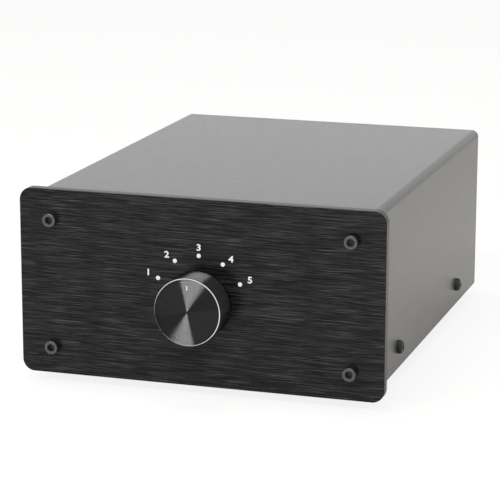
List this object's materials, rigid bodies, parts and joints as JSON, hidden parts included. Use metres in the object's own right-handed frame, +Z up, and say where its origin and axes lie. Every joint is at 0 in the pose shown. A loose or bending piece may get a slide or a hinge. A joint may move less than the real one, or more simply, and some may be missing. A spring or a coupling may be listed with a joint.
{
  "type": "audio source selector",
  "caption": "Passive stereo source selector in a black brushed front and folded steel case, with a turning selector knob, a rotary wafer switch and phono jacks at the rear.",
  "frame": {"origin": "on the surface that the feet stand on, below the middle of the box", "axes": "+X right seen from the front, +Y to the rear, +Z up"},
  "size_m": [0.15, 0.211, 0.0792],
  "materials": {
    "panel": "black anodised, brushed along the width",
    "tray": "dark grey powder coat, fine texture",
    "cover": "dark grey powder coat, fine texture",
    "knob": "black anodised side, spun face with a bright cut edge",
    "black_screw": "black oxide",
    "foot": "matt black rubber",
    "brass": "turned brass",
    "plated_steel": "zinc plated steel",
    "spring_steel": "rolled spring steel",
    "shaft": "drawn bar",
    "wheel": "moulded natural acetal",
    "laminate": "fibre laminate",
    "contact": "silver plated",
    "block": "moulded black plastic",
    "jack": "bright nickel plating"
  },
  "bodies": {
    "chassis": {"front_panel": "panel", "base_tray": "tray", "top_cover": "cover", "panel_screws": "black_screw", "cover_screws": "black_screw", "foot_front_left": "foot", "foot_front_right": "foot", "foot_rear_left": "foot", "foot_rear_right": "foot", "front_bushing": "brass", "switch_bracket": "plated_steel", "switch_nut": "plated_steel", "switch_frame": "plated_steel", "detent_spring": "spring_steel", "stator_wafer": "laminate", "stator_contacts": "contact", "jack_board": "laminate", "jack_block_right": "block", "jack_block_middle": "block", "jack_block_left": "block", "jack_screws": "black_screw", "jack_sleeves_left": "jack", "jack_sleeves_right": "jack"},
    "selector": {"knob": "knob", "knob_set_screw": "black_screw", "selector_shaft": "shaft", "shaft_coupler": "brass", "coupler_set_screws": "black_screw", "switch_spindle": "shaft", "stop_arm": "plated_steel", "detent_wheel": "wheel", "rotor_disc": "wheel", "rotor_contacts": "contact"}
  },
  "joints": [
    {"name": "source_select", "type": "hinge", "parent": "chassis", "child": "selector", "pos_m": [0, -0.105, 0.0376], "axis": [0, 1, 0], "range_deg": [-60, 60], "deforming": ["detent_spring"]}
  ]
}
